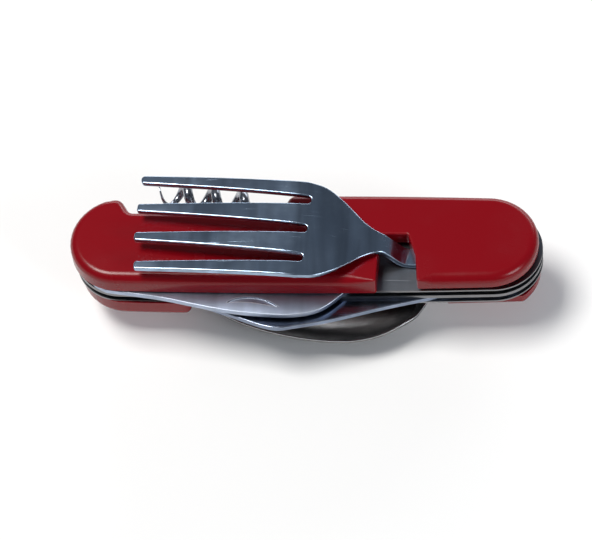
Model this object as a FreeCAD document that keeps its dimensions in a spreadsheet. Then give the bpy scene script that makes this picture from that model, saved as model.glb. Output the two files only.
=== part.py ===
"""Folding picnic cutlery: two pocket-knife halves that key together, one with a fork, an
opener and a corkscrew, the other with a knife and a spoon.

Everything is drawn in the handle's own frame, in millimetres: X runs along the handle,
the tools open on the -Y side, the springs and the corkscrew are on the +Y side, and Z = 0
is the face of the outer liner that the front scale sits on. settle() moves each piece to
the row frame, whose origin is the middle of the underside of the folded object.
"""
import FreeCAD, Part
import math
import os

import Sketcher
from FreeCAD import Placement, Rotation, Vector

doc = FreeCAD.newDocument("PicnicCutlery")
sheet = doc.addObject("Spreadsheet::Sheet", "dims")

DIMENSIONS = [
    # handle
    ("half_wide", 11.8, "half width of a scale at its middle"),
    ("end_radius", 11.2, "radius of a handle's ends"),
    ("front_left", -52.2, "left end of the front scale"),
    ("front_right", 51.8, "right end of the front scale"),
    ("back_left", -50.9, "left end of the back scale"),
    ("back_right", 52.2, "right end of the back scale"),
    ("liner_left", -51.9, "left end of the liners"),
    ("liner_right", 53.0, "right end of the liners"),
    ("liner_inset", 0.35, "how far a liner's long edge lies inside the scale's"),
    ("scale_thick", 4.8, "thickness of a scale"),
    ("rim_round", 1.4, "rounding round a scale's outer face"),
    ("liner_thick", 0.45, "thickness of a liner"),
    ("layer_gap", 1.45, "room between two liners for a tool and its spring"),
    ("halves_gap", 0.05, "clearance between the two halves"),
    # corkscrew bay in the back edge
    ("bay_left", -40.2, "left end of the corkscrew bay"),
    ("bay_right", -4.3, "right end of the corkscrew bay in the front half"),
    ("back_bay_right", 2.2, "right end of the bay in the back half, clear of the corkscrew's eye"),
    ("bay_floor", 7.2, "Y of the bay's floor"),
    ("bay_round", 1.6, "rounding of the bay's corners"),
    # neck notches and shank slots
    ("fork_notch_left", 16.4, "left wall of the fork's notch"),
    ("fork_notch_right", 25.6, "right wall of the fork's notch"),
    ("fork_notch_top", 0.7, "inner end of the fork's notch"),
    ("spoon_notch_left", 22.4, "left wall of the spoon's notch"),
    ("spoon_notch_right", 31.4, "right wall of the spoon's notch"),
    ("spoon_notch_top", 3.6, "inner end of the spoon's notch"),
    ("slot_deep", 1.5, "depth of the shank slot under a scale"),
    ("slot_top", 1.7, "inner edge of the shank slot"),
    # relief along the opening edge of the back scale
    ("relief_start", -25.4, "left end of the relief"),
    ("relief_edge", -8.4, "Y of the relief's edge"),
    ("relief_round", 1.45, "rounding where the relief starts"),
    # pivots and pins
    ("pivot_right", 41.5, "X of the pivots at the right end"),
    ("pivot_left", -41.5, "X of the pivots at the left end"),
    ("pivot_side", -4.4, "Y of the end pivots"),
    ("pivot_pin", 1.5, "radius of a pivot rivet"),
    ("spring_pin", 1.2, "radius of a spring rivet"),
    ("screw_pin", 1.0, "radius of the corkscrew's rivet"),
    ("pin_fit", 0.02, "radial gap between a rivet and a fixed piece"),
    ("run_fit", 0.05, "radial gap between a rivet and a moving tool"),
    ("head_radius", 2.8, "radius of a rivet's head"),
    ("head_thick", 0.7, "thickness of a rivet's head"),
    ("bush_wall", 0.7, "wall of a bush in a scale"),
    ("bush_tall", 1.6, "height of a bush in a scale"),
    ("spring_pin_left", -30.0, "X of the left spring rivets"),
    ("spring_pin_right", 24.0, "X of the right spring rivets"),
    ("spring_pin_side", 4.8, "Y of the spring rivets"),
    ("spring_edge", 2.65, "Y of the springs' inner edge"),
    ("spring_play", 0.04, "gap between a spring and a liner"),
    ("shoulder_right", -42.5, "right end of the room for the open opener's shoulder"),
    ("shoulder_top", 4.9, "Y that this room reaches"),
    # fork
    ("fork_turn", -4.3, "turn of the folded fork about its pivot, degrees"),
    ("fork_thick", 1.3, "thickness of the fork"),
    ("shank_lift", 0.08, "gap between a shank and the liner beside it"),
    ("fork_bend", 18.3, "distance from the pivot where the fork starts to rise"),
    ("fork_bend_run", 6.9, "length of the fork's rise"),
    ("fork_rise", 5.15, "height of the fork's rise"),
    ("fork_arch", 3.7, "height of the fork's arch over its neck"),
    ("fork_crest", 44.0, "distance from the pivot to the top of the arch"),
    ("fork_droop", 2.8, "how far the tine tips come down from the arch"),
    ("shank_half", 2.2, "half width of a shank"),
    ("tang_half", 4.6, "radius of a shank's eye"),
    ("fork_half", 12.4, "half width of the fork's head"),
    ("fork_long", 78.4, "distance from the pivot to the tine tips"),
    ("tine_root", 40.3, "distance from the pivot to the tine roots"),
    ("tine_tip", 0.95, "half width of a tine at its tip"),
    ("tine_gap", 2.1, "width of a gap at the tine roots"),
    # spoon
    ("spoon_turn", -4.6, "turn of the folded spoon about its pivot, degrees"),
    ("spoon_thick", 1.1, "thickness of the spoon"),
    ("spoon_bend", 11.3, "distance from the pivot where the spoon starts to drop"),
    ("spoon_bend_run", 5.6, "length of the spoon's drop"),
    ("spoon_drop", 5.3, "height of the spoon's drop"),
    ("bowl_middle", 35.0, "distance from the pivot to the widest part of the bowl"),
    ("bowl_front", 34.0, "length of the bowl in front of its widest part"),
    ("bowl_rear", 19.5, "length of the bowl behind its widest part"),
    ("bowl_half", 15.7, "half width of the bowl"),
    ("bowl_deep", 7.6, "depth of the bowl outside, before its flat"),
    ("bowl_flat", 0.5, "depth that the flat under the bowl takes off"),
    # knife and opener
    ("tool_thick", 1.35, "thickness of the knife and of the opener"),
    ("tang_radius", 6.9, "radius of the tang of the knife and of the opener"),
    ("nick_deep", 0.45, "depth of the nail nick"),
    # corkscrew
    ("screw_pivot", -0.5, "X of the corkscrew's pivot"),
    ("screw_side", 9.3, "Y of the corkscrew's pivot"),
    ("screw_turn", -10.0, "turn of the folded corkscrew about its pivot, degrees"),
    ("screw_eye", 2.1, "radius of the corkscrew's eye"),
    ("screw_shank", 1.2, "radius of the corkscrew's round shank"),
    ("screw_flat", 5.4, "length of the flat tang from the pivot"),
    ("wire_radius", 1.1, "radius of the worm's wire"),
    ("worm_radius", 2.5, "radius of the worm's centre line"),
    ("worm_pitch", 6.6, "pitch of the worm"),
    ("worm_start", 9.0, "distance from the pivot to the worm"),
    ("worm_turns", 3.7, "number of turns"),
    # studs that key the halves together
    ("stud_left", -12.0, "X of the left stud"),
    ("stud_right", 28.0, "X of the right stud"),
    ("stud_side", 0.2, "Y of the studs"),
    ("stud_neck", 1.2, "radius of a stud's neck"),
    ("stud_head", 1.9, "radius of a stud's head"),
    ("stud_cap", 0.7, "thickness of a stud's head"),
    ("key_travel", 4.6, "slide that frees the studs from their keyholes"),
    ("key_fit", 0.15, "gap round a stud in its keyhole"),
    # from the handle's frame to the row frame
    ("row_x", -0.225, "shift along X"),
    ("row_y", 0.26, "shift along Y"),
    ("row_z", 17.23, "shift along Z"),
]


def fill_sheet():
    for row, (alias, value, note) in enumerate(DIMENSIONS, start=1):
        sheet.set(f"A{row}", note)
        sheet.set(f"B{row}", str(value))
        sheet.setAlias(f"B{row}", alias)
    doc.recompute()


def dim(alias):
    """The number in the sheet's cell of that alias."""
    return float(getattr(sheet, alias))


fill_sheet()

# Heights of the layers, from the front scale down, as expressions on the sheet.
FRONT_OUTER = "-dims.liner_thick"
FRONT_INNER = "-2 * dims.liner_thick - dims.layer_gap"
BACK_TOP = "-2 * dims.liner_thick - dims.layer_gap - dims.halves_gap"
BACK_INNER = "-3 * dims.liner_thick - dims.layer_gap - dims.halves_gap"
BACK_OUTER = "-4 * dims.liner_thick - 2 * dims.layer_gap - dims.halves_gap"
FRONT_LAYER = "-dims.liner_thick - dims.layer_gap"
BACK_LAYER = "-3 * dims.liner_thick - 2 * dims.layer_gap - dims.halves_gap"
TOOL_PLAY = "(dims.layer_gap - dims.tool_thick) / 2"


def level(expression):
    """A height in the stack, or any other expression on the sheet, as a number."""
    return float(sheet.evalExpression(expression))


def settle(piece, at=None, turn=0.0):
    """Puts a piece in the row frame, with its own origin at a point of the handle's frame."""
    base = Vector(dim("row_x"), dim("row_y"), dim("row_z")) + (at or Vector())
    piece.Placement = Placement(base, Rotation(Vector(0, 0, 1), turn))


# ---------------------------------------------------------------- sketch helpers
def new_sketch(body, name, height="0"):
    """A sketch on the body's own XY plane, raised to an expression's height."""
    sketch = body.newObject("Sketcher::SketchObject", name)
    plane = next(f for f in body.Origin.OriginFeatures if f.Role == "XY_Plane")
    sketch.AttachmentSupport = [(plane, "")]
    sketch.MapMode = "FlatFace"
    sketch.setExpression(".AttachmentOffset.Base.z", f"({height}) * 1 mm")
    doc.recompute()
    return sketch


def bind(sketch, constraint, expression):
    """Adds a size constraint whose value is an expression on the sheet."""
    index = sketch.addConstraint(Sketcher.Constraint(*constraint, level(expression)))
    sketch.setExpression(f"Constraints[{index}]", expression)


def locate(sketch, geometry, point, across, up):
    """Fixes a point of a sketch at two expressions from the origin."""
    bind(sketch, ("DistanceX", -1, 1, geometry, point), across)
    bind(sketch, ("DistanceY", -1, 1, geometry, point), up)


def draw_box(sketch, left, bottom, right, top):
    """A rectangle between four expressions."""
    x0, y0, x1, y1 = (level(e) for e in (left, bottom, right, top))
    corners = [Vector(x0, y0, 0), Vector(x1, y0, 0), Vector(x1, y1, 0), Vector(x0, y1, 0)]
    first = sketch.GeometryCount
    for start, end in zip(corners, corners[1:] + corners[:1]):
        sketch.addGeometry(Part.LineSegment(start, end), False)
    for side in range(4):
        after = first + (side + 1) % 4
        sketch.addConstraint(Sketcher.Constraint("Coincident", first + side, 2, after, 1))
    for side in (0, 2):
        sketch.addConstraint(Sketcher.Constraint("Horizontal", first + side))
        sketch.addConstraint(Sketcher.Constraint("Vertical", first + side + 1))
    locate(sketch, first, 1, left, bottom)
    locate(sketch, first + 1, 2, right, top)


def draw_circle(sketch, across, up, radius):
    """A circle whose centre and radius are expressions."""
    centre = Vector(level(across), level(up), 0)
    circle = Part.Circle(centre, Vector(0, 0, 1), level(radius))
    geometry = sketch.addGeometry(circle, False)
    locate(sketch, geometry, 3, across, up)
    bind(sketch, ("Radius", geometry), radius)


def draw_handle(sketch, left, right, inset="0"):
    """The handle's plan: two round ends joined by slightly bowed long sides."""
    end = f"(dims.end_radius - {inset})"
    wide = f"(dims.half_wide - {inset})"
    span = f"(({right} - {left}) / 2 - dims.end_radius)"
    bow = f"(({span}^2 + {wide}^2 - {end}^2) / (2 * ({wide} - {end})))"
    r, w, big = level(end), level(wide), level(bow)
    c0 = level(left) + dim("end_radius")
    c1 = level(right) - dim("end_radius")
    middle = (c0 + c1) / 2
    up = Vector(0, 0, 1)
    lean = math.asin((c1 - middle) / (big - r))
    half = math.pi / 2
    right_end = Part.Circle(Vector(c1, 0, 0), up, r)
    left_end = Part.Circle(Vector(c0, 0, 0), up, r)
    top_side = Part.Circle(Vector(middle, w - big, 0), up, big)
    low_side = Part.Circle(Vector(middle, big - w, 0), up, big)
    arcs = [
        Part.ArcOfCircle(right_end, lean - half, half - lean),
        Part.ArcOfCircle(top_side, half - lean, half + lean),
        Part.ArcOfCircle(left_end, half + lean, 3 * half - lean),
        Part.ArcOfCircle(low_side, 3 * half - lean, 3 * half + lean),
    ]
    for arc in arcs:
        sketch.addGeometry(arc, False)
    for arc in range(4):
        sketch.addConstraint(Sketcher.Constraint("Tangent", arc, 2, (arc + 1) % 4, 1))
    locate(sketch, 0, 3, f"{right} - dims.end_radius", "0 * dims.end_radius")
    locate(sketch, 2, 3, f"{left} + dims.end_radius", "0 * dims.end_radius")
    bind(sketch, ("Radius", 0), end)
    bind(sketch, ("Radius", 2), end)
    bind(sketch, ("Radius", 1), bow)
    bind(sketch, ("Radius", 3), bow)


def draw_path(sketch, runs):
    """A closed outline of straight and smooth runs, each a list of points."""
    first = sketch.GeometryCount
    for points in runs:
        vectors = [Vector(x, y, 0) for x, y in points]
        if len(vectors) == 2:
            sketch.addGeometry(Part.LineSegment(*vectors), False)
        else:
            curve = Part.BSplineCurve()
            curve.interpolate(vectors)
            sketch.addGeometry(curve, False)
    for run in range(len(runs)):
        after = first + (run + 1) % len(runs)
        sketch.addConstraint(Sketcher.Constraint("Coincident", first + run, 2, after, 1))
        sketch.addConstraint(Sketcher.Constraint("Block", first + run))


def pad(body, sketch, length, down=False):
    feature = body.newObject("PartDesign::Pad", "blank")
    feature.Profile = sketch
    feature.Reversed = down
    feature.setExpression("Length", length)
    doc.recompute()
    return feature


def pocket(body, sketch, name, length=None, up=True):
    """Cuts a sketch's shape, through everything or to a depth, and checks that it cut."""
    before = body.Shape.Volume
    feature = body.newObject("PartDesign::Pocket", name)
    feature.Profile = sketch
    if length:
        feature.Reversed = up
        feature.setExpression("Length", length)
    else:
        feature.Type = "ThroughAll"
        feature.Midplane = True
    doc.recompute()
    if not 0 < body.Shape.Volume < before - 1e-6:
        raise RuntimeError(f"{body.Label}: {name} cut nothing")
    return feature


def round_edges(body, radius, name, wanted):
    """Fillets the edges of the body's last feature that wanted(box of the edge) picks."""
    base = body.Tip
    edges = enumerate(base.Shape.Edges, 1)
    names = [f"Edge{n}" for n, edge in edges if wanted(edge.BoundBox)]
    if not names:
        raise RuntimeError(f"{body.Label}: {name} found no edge")
    feature = body.newObject("PartDesign::Fillet", name)
    feature.Base = (base, names)
    feature.setExpression("Radius", radius)
    doc.recompute()
    return feature


def upright_at(box, x):
    """Whether an edge's box is a vertical line at that X."""
    return box.XLength < 0.01 and box.YLength < 0.01 and abs(box.XMin - x) < 0.01


def round_bay(body, right):
    """Rounds the four upright corners of the bay."""
    ends = (dim("bay_left"), level(right))
    corner = lambda box: any(upright_at(box, x) for x in ends)
    round_edges(body, "dims.bay_round", "bay_corners", corner)


def bay_end(front):
    """Where the bay ends in the front or in the back half."""
    return "dims.bay_right" if front else "dims.back_bay_right"


def cut_bay(body, right, rounded=True):
    """The bay in the back edge that the corkscrew folds into."""
    sketch = new_sketch(body, "bay_plan")
    wide = "2 * dims.half_wide"
    draw_box(sketch, "dims.bay_left", "dims.bay_floor", right, wide)
    pocket(body, sketch, "bay")
    if rounded:
        round_bay(body, right)


# ---------------------------------------------------------------- handle
def make_scale(side):
    """A moulded scale: rounded outer face, corkscrew bay, neck notch and shank slot."""
    front = side == "front"
    tool = "fork" if front else "spoon"
    inner = "0 * dims.liner_thick" if front else BACK_OUTER
    outer = level(inner) + dim("scale_thick") * (1 if front else -1)
    body = doc.addObject("PartDesign::Body", f"{side}_scale")
    plan = new_sketch(body, "plan", inner)
    draw_handle(plan, f"dims.{side}_left", f"dims.{side}_right")
    pad(body, plan, "dims.scale_thick", down=not front)
    cut_bay(body, bay_end(front), rounded=False)
    notch = new_sketch(body, "notch_plan")
    low = "-2 * dims.half_wide"
    left, right = f"dims.{tool}_notch_left", f"dims.{tool}_notch_right"
    draw_box(notch, left, low, right, f"dims.{tool}_notch_top")
    pocket(body, notch, "notch")
    if not front:
        relief = new_sketch(body, "relief_plan")
        draw_box(relief, "dims.relief_start", low, "2 * dims.back_right", "dims.relief_edge")
        pocket(body, relief, "relief")
    slot = new_sketch(body, "slot_plan", inner)
    draw_box(slot, f"{left} + 1", low, "2 * dims.front_right", "dims.slot_top")
    pocket(body, slot, "slot", "dims.slot_deep", up=front)
    seat = new_sketch(body, "head_seat_plan", inner)
    draw_circle(seat, "dims.pivot_right", "dims.pivot_side", "dims.head_radius + 0.4")
    pocket(body, seat, "head_seat", "dims.slot_deep + dims.head_thick + 0.3", up=front)

    bushes = new_sketch(body, "bush_plan", inner)
    for across in ("dims.spring_pin_left", "dims.spring_pin_right"):
        radius = "dims.spring_pin + dims.bush_wall + 2 * dims.pin_fit"
        draw_circle(bushes, across, "dims.spring_pin_side", radius)
    if front:
        radius = "dims.pivot_pin + dims.bush_wall + 2 * dims.pin_fit"
        draw_circle(bushes, "dims.pivot_left", "dims.pivot_side", radius)
    pocket(body, bushes, "bush_seats", "dims.bush_tall + dims.pin_fit", up=front)
    if not front:
        start = dim("relief_start")
        round_edges(body, "dims.relief_round", "relief_end", lambda box: upright_at(box, start))
    round_bay(body, bay_end(front))

    def on_rim(box):
        at_face = abs(box.ZMin - outer) < 0.01 and abs(box.ZMax - outer) < 0.01
        in_notch = box.XMin > level(left) - 0.01 and box.XMax < level(right) + 0.01
        return at_face and not in_notch

    round_edges(body, "dims.rim_round", "rim", on_rim)
    settle(body)
    return body


def make_liner(label, height, holes, keyholes=False):
    """A flat liner at a height, with the corkscrew bay and its rivet holes."""
    body = doc.addObject("PartDesign::Body", label)
    plan = new_sketch(body, "plan", height)
    draw_handle(plan, "dims.liner_left", "dims.liner_right", "dims.liner_inset")
    pad(body, plan, "dims.liner_thick")
    cut_bay(body, bay_end(label.startswith("front")))
    drill = new_sketch(body, "rivet_holes")
    for across, up, radius in holes:
        draw_circle(drill, across, up, f"{radius} + dims.pin_fit")
    pocket(body, drill, "holes")
    if keyholes:
        narrow = "(dims.stud_neck + dims.key_fit)"
        slots = new_sketch(body, "keyhole_slots")
        wide_ends = new_sketch(body, "keyhole_ends")
        for across in ("dims.stud_left", "dims.stud_right"):
            free = f"{across} - dims.key_travel"
            low, high = f"dims.stud_side - {narrow}", f"dims.stud_side + {narrow}"
            draw_box(slots, free, low, f"{across} + {narrow}", high)
            draw_circle(wide_ends, free, "dims.stud_side", "dims.stud_head + dims.key_fit")
        pocket(body, slots, "keyhole_narrow")
        pocket(body, wide_ends, "keyhole_wide")
    settle(body)
    return body


PIVOT_LEFT = ("dims.pivot_left", "dims.pivot_side", "dims.pivot_pin")
PIVOT_RIGHT = ("dims.pivot_right", "dims.pivot_side", "dims.pivot_pin")
SPRING_HOLES = [
    ("dims.spring_pin_left", "dims.spring_pin_side", "dims.spring_pin"),
    ("dims.spring_pin_right", "dims.spring_pin_side", "dims.spring_pin"),
]
SCREW_HOLE = ("dims.screw_pivot", "dims.screw_side", "dims.screw_pin")
STUD_HOLES = [
    ("dims.stud_left", "dims.stud_side", "dims.stud_neck"),
    ("dims.stud_right", "dims.stud_side", "dims.stud_neck"),
]


def make_spring(label, layer, beside_corkscrew):
    """A back spring: the part of a layer behind the tool, cut away round the corkscrew."""
    body = doc.addObject("PartDesign::Body", label)
    plan = new_sketch(body, "plan", f"{layer} + dims.spring_play")
    draw_handle(plan, "dims.liner_left", "dims.liner_right", "dims.liner_inset + 0.1")
    pad(body, plan, "dims.layer_gap - 2 * dims.spring_play")
    inside = new_sketch(body, "tool_room")
    wide = "2 * dims.liner_right"
    draw_box(inside, f"-{wide}", "-2 * dims.half_wide", wide, "dims.spring_edge")
    pocket(body, inside, "tool_side")
    cut_bay(body, bay_end(beside_corkscrew))
    if beside_corkscrew:
        room = new_sketch(body, "eye_room")
        left = "dims.bay_right - 3"
        right = "dims.screw_pivot + dims.screw_eye + 0.3"
        low = "dims.screw_side - dims.screw_eye - 0.3"
        draw_box(room, left, low, right, "2 * dims.half_wide")
        pocket(body, room, "eye_side")
        shoulder = new_sketch(body, "shoulder_room")
        draw_box(shoulder, f"-{wide}", "0 * dims.half_wide", "dims.shoulder_right", "dims.shoulder_top")
        pocket(body, shoulder, "shoulder_side")
    drill = new_sketch(body, "rivet_holes")
    for across, up, radius in SPRING_HOLES:
        draw_circle(drill, across, up, f"{radius} + dims.pin_fit")
    pocket(body, drill, "holes")
    settle(body)
    return body


# ---------------------------------------------------------------- rivets, bushes, studs
def add_rod(name, across, up, bottom, radius, height):
    """A Part cylinder whose place and size are all expressions on the sheet."""
    rod = doc.addObject("Part::Cylinder", name)
    rod.setExpression("Radius", f"({radius}) * 1 mm")
    rod.setExpression("Height", f"({height}) * 1 mm")
    rod.setExpression(".Placement.Base.x", f"({across}) * 1 mm")
    rod.setExpression(".Placement.Base.y", f"({up}) * 1 mm")
    rod.setExpression(".Placement.Base.z", f"({bottom}) * 1 mm")
    return rod


def join(label, pieces):
    """Fuses pieces into one node."""
    node = doc.addObject("Part::MultiFuse", label)
    node.Shapes = pieces
    doc.recompute()
    settle(node)
    return node


def make_rivets(label, places, bottom, height):
    """A set of plain rivets, one at each place, as one node."""
    rods = [add_rod(f"{label}_rod", x, y, bottom, r, height) for x, y, r in places]
    if len(rods) > 1:
        return join(label, rods)
    node = doc.addObject("Part::Compound", label)
    node.Links = rods
    doc.recompute()
    settle(node)
    return node


def make_rings(label, places, bottom, height, wall):
    """A set of tubular bushes or spacers, one round each place, as one node."""
    gap = "dims.pin_fit"
    outer = [
        add_rod(f"{label}_outer", x, y, bottom, f"{r} + {gap} + {wall}", height)
        for x, y, r in places
    ]
    inner = [
        add_rod(f"{label}_bore", x, y, f"{bottom} - 1", f"{r} + {gap}", f"{height} + 2")
        for x, y, r in places
    ]
    rings = []
    for solid, bore in zip(outer, inner):
        ring = doc.addObject("Part::Cut", f"{label}_ring")
        ring.Base = solid
        ring.Tool = bore
        rings.append(ring)
    node = doc.addObject("Part::Compound", label)
    node.Links = rings
    doc.recompute()
    settle(node)
    return node


def make_headed_rivet(label, side):
    """The right-hand rivet of a half: a shank through its liners with a head over the tool."""
    x, y, r = PIVOT_RIGHT
    if side == "front":
        bottom = FRONT_INNER
        head = "dims.shank_lift + dims.fork_thick + 0.05"
        shank = f"{head} - ({FRONT_INNER})"
    else:
        head = f"{BACK_OUTER} - dims.shank_lift - dims.spoon_thick - 0.05 - dims.head_thick"
        bottom = head
        shank = f"{BACK_TOP} - ({head})"
    rod = add_rod(f"{label}_shank", x, y, bottom, r, f"{shank}")
    cap = add_rod(f"{label}_head", x, y, head, "dims.head_radius", "dims.head_thick")
    return join(label, [rod, cap])


def make_studs():
    """Two headed studs under the front half that hook into the other half's keyholes."""
    bottom = f"{BACK_INNER} - 0.1 - dims.stud_cap"
    neck_long = f"{FRONT_LAYER} - ({bottom})"
    pieces = []
    for x, y, r in STUD_HOLES:
        pieces.append(add_rod("stud_neck_rod", x, y, bottom, r, neck_long))
        pieces.append(add_rod("stud_cap_rod", x, y, bottom, "dims.stud_head", "dims.stud_cap"))
    return join("key_studs", pieces)


# ---------------------------------------------------------------- knife and opener
def drill_pivot(body, sketch, place):
    x, y, r = place
    draw_circle(sketch, x, y, f"{r} + dims.run_fit")
    pocket(body, sketch, "pivot_hole")


def make_knife():
    """The knife: a wide table blade with a straight edge that lies inside the handle."""
    body = doc.addObject("PartDesign::Body", "knife_blade")
    x, y, r = dim("pivot_right"), dim("pivot_side"), dim("tang_radius")
    heel = (x - 8.2, -2.4)
    tail = (x + r * math.cos(math.radians(-40)), y + r * math.sin(math.radians(-40)))
    crown = (x - r * math.cos(math.radians(60)), y + r * math.sin(math.radians(60)))
    around = [
        (x + r * math.cos(math.radians(a)), y + r * math.sin(math.radians(a)))
        for a in (-40, -10, 20, 55, 90, 120)
    ]
    runs = [
        [(-37.4, -7.4), (-30.0, -10.4), (-17.0, -15.1), (-9.6, -17.9), (-5.6, -19.0)],
        [(-5.6, -19.0), (-1.6, -18.5), (6.6, -16.7), (20.2, -12.9), (33.8, -9.9), tail],
        around,
        [crown, heel],
        [heel, (-22.0, -2.4)],
        [(-22.0, -2.4), (-29.0, -3.0), (-34.5, -4.9), (-37.4, -7.4)],
    ]
    plan = new_sketch(body, "plan", f"{BACK_LAYER} + {TOOL_PLAY}")
    draw_path(plan, runs)
    pad(body, plan, "dims.tool_thick")
    drill_pivot(body, new_sketch(body, "pivot_hole_plan"), PIVOT_RIGHT)
    settle(body)
    return body


def make_opener():
    """The can and bottle opener: a bowed back, a hooked front and a screwdriver tip."""
    body = doc.addObject("PartDesign::Body", "opener")
    x, y, r = dim("pivot_left"), dim("pivot_side"), dim("tang_radius")
    around = [
        (x + r * math.cos(math.radians(a)), y + r * math.sin(math.radians(a)))
        for a in (60, 90, 125, 160, 195, 225)
    ]
    shoulder = around[0]
    runs = [
        around,
        [around[-1], (-41.6, -11.0), (-31.6, -12.6), (-24.3, -14.3), (-16.9, -15.9),
         (-9.6, -16.8), (-2.0, -17.1), (4.0, -15.6), (8.6, -11.8), (12.0, -7.4)],
        [(12.0, -7.4), (9.6, -5.6)],
        [(9.6, -5.6), (5.6, -8.2), (1.2, -8.6), (-1.6, -5.4)],
        [(-1.6, -5.4), (-4.0, -2.6)],
        [(-4.0, -2.6), (-14.0, -2.6)],
        [(-14.0, -2.6), (-33.6, -2.4)],
        [(-33.6, -2.4), shoulder],
    ]
    plan = new_sketch(body, "plan", f"{FRONT_LAYER} + {TOOL_PLAY}")
    draw_path(plan, runs)
    pad(body, plan, "dims.tool_thick")
    drill_pivot(body, new_sketch(body, "pivot_hole_plan"), PIVOT_LEFT)
    nick = new_sketch(body, "nick_plan", f"{FRONT_LAYER} + {TOOL_PLAY} + dims.tool_thick")
    draw_path(nick, [
        [(-16.6, -13.8), (-14.4, -12.8), (-11.6, -12.5), (-8.4, -13.2), (-5.0, -15.0)],
        [(-5.0, -15.0), (-8.6, -14.2), (-11.6, -13.7), (-14.2, -13.6), (-16.6, -13.8)],
    ])
    pocket(body, nick, "nick", "dims.nick_deep", up=False)
    settle(body)
    return body


# ---------------------------------------------------------------- fork and spoon
def ramp(s, start, run):
    """A smooth step from 0 to 1 that starts at a distance and takes a run."""
    u = min(max((s - start) / run, 0.0), 1.0)
    return (1 - math.cos(math.pi * u)) / 2


def smooth_wire(points):
    """An edge through points of the XZ plane or of the XY plane."""
    curve = Part.BSplineCurve()
    curve.interpolate([Vector(*p) for p in points])
    return curve.toShape()


def closed_face(edges):
    return Part.Face(Part.Wire(Part.__sortEdges__(edges)))


def strip(height_at, thick, wide, bend, stops):
    """A band as thick as a tool, wider than it: flat as far as its bend, then following a height."""
    edges = []
    for lift in (0, thick):
        start = Vector(0, -wide, height_at(0) + lift)
        corner = Vector(-bend, -wide, height_at(bend) + lift)
        points = [corner] + [Vector(-s, -wide, height_at(s) + lift) for s in stops]
        curve = Part.BSplineCurve()
        leaving = (points[-1] - points[-2]).normalize()
        curve.interpolate(
            Points=points, InitialTangent=Vector(-1, 0, 0), FinalTangent=leaving, Scale=False
        )
        edges += [Part.makeLine(start, corner), curve.toShape()]
    tall = Vector(0, 0, thick)
    for end in (edges[0].Vertexes[0].Point, edges[1].Vertexes[-1].Point):
        edges.append(Part.makeLine(end, end + tall))
    return closed_face(edges).extrude(Vector(0, 2 * wide, 0))


def fork_height(s):
    """Height of the fork's underside at a distance from its pivot."""
    crest, neck = dim("fork_crest"), dim("fork_bend") + dim("fork_bend_run")
    z = dim("shank_lift") + dim("fork_rise") * ramp(s, dim("fork_bend"), dim("fork_bend_run"))
    if s > neck:
        z += dim("fork_arch") * ramp(min(s, crest), neck - 1.5, crest - neck + 1.5)
    if s > crest:
        u = (s - crest) / (dim("fork_long") - crest)
        z -= dim("fork_droop") * (1 - math.cos(math.pi / 2 * u))
    return z


def fork_plan():
    """The fork's outline: shank, shoulders and a head with four tapered tines."""
    half, shank = dim("fork_half"), dim("shank_half")
    root, tip = dim("tine_root"), dim("fork_long")
    tine, gap = dim("tine_tip"), dim("tine_gap") / 2
    side = [(14.0, shank), (24.0, shank), (28.0, 4.2), (33.0, 8.6), (37.0, 11.2), (42.0, half)]
    edges = []
    for sign in (1, -1):
        edges.append(smooth_wire([(-s, sign * v, 0) for s, v in side]))
        shoulder = Vector(-42.0, sign * half, 0)
        edges.append(Part.makeLine(shoulder, Vector(-tip, sign * half, 0)))
        edges.append(Part.makeLine(Vector(0, sign * shank, 0), Vector(-14.0, sign * shank, 0)))
    edges.append(Part.makeLine(Vector(0, shank, 0), Vector(0, -shank, 0)))
    edges.append(Part.makeLine(Vector(-tip, half, 0), Vector(-tip, -half, 0)))
    plan = closed_face(edges).extrude(Vector(0, 0, 20))
    centres = [half - tine - n * 2 * (half - tine) / 3 for n in range(4)]
    for upper, lower in zip(centres, centres[1:]):
        middle = (upper + lower) / 2
        rooted = Vector(-root - gap, middle, 0)
        wide = (upper - lower) / 2 - tine
        corners = [
            Vector(-root - gap, middle + gap, 0),
            Vector(-tip - 1, middle + wide, 0),
            Vector(-tip - 1, middle - wide, 0),
            Vector(-root - gap, middle - gap, 0),
        ]
        opening = Part.Face(Part.makePolygon(corners + corners[:1]))
        plan = plan.cut(opening.extrude(Vector(0, 0, 20)))
        plan = plan.cut(Part.makeCylinder(gap, 20, rooted))
    return plan


def make_fork():
    node = doc.addObject("Part::Feature", "fork")
    bend, run = dim("fork_bend"), dim("fork_bend_run")
    stops = [bend + n * run / 6 for n in range(1, 7)]
    stops += [28, 32, 36, 40, 44, 50, 57, 64, 71, dim("fork_long") + 1]
    band = strip(fork_height, dim("fork_thick"), 20, bend, stops)
    shape = band.common(fork_plan())
    eye = Part.makeCylinder(dim("tang_half"), dim("fork_thick"), Vector(0, 0, dim("shank_lift")))
    shape = shape.fuse(eye)
    hole = dim("pivot_pin") + dim("run_fit")
    shape = shape.cut(Part.makeCylinder(hole, 20, Vector(0, 0, -10)))
    node.Shape = shape.removeSplitter()
    settle(node, Vector(dim("pivot_right"), dim("pivot_side"), 0), dim("fork_turn"))
    return node


def spoon_height(s):
    """Height of the spoon's upper side at a distance from its pivot."""
    drop = dim("spoon_drop") * ramp(s, dim("spoon_bend"), dim("spoon_bend_run"))
    return level(BACK_OUTER) - dim("shank_lift") - drop


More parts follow.
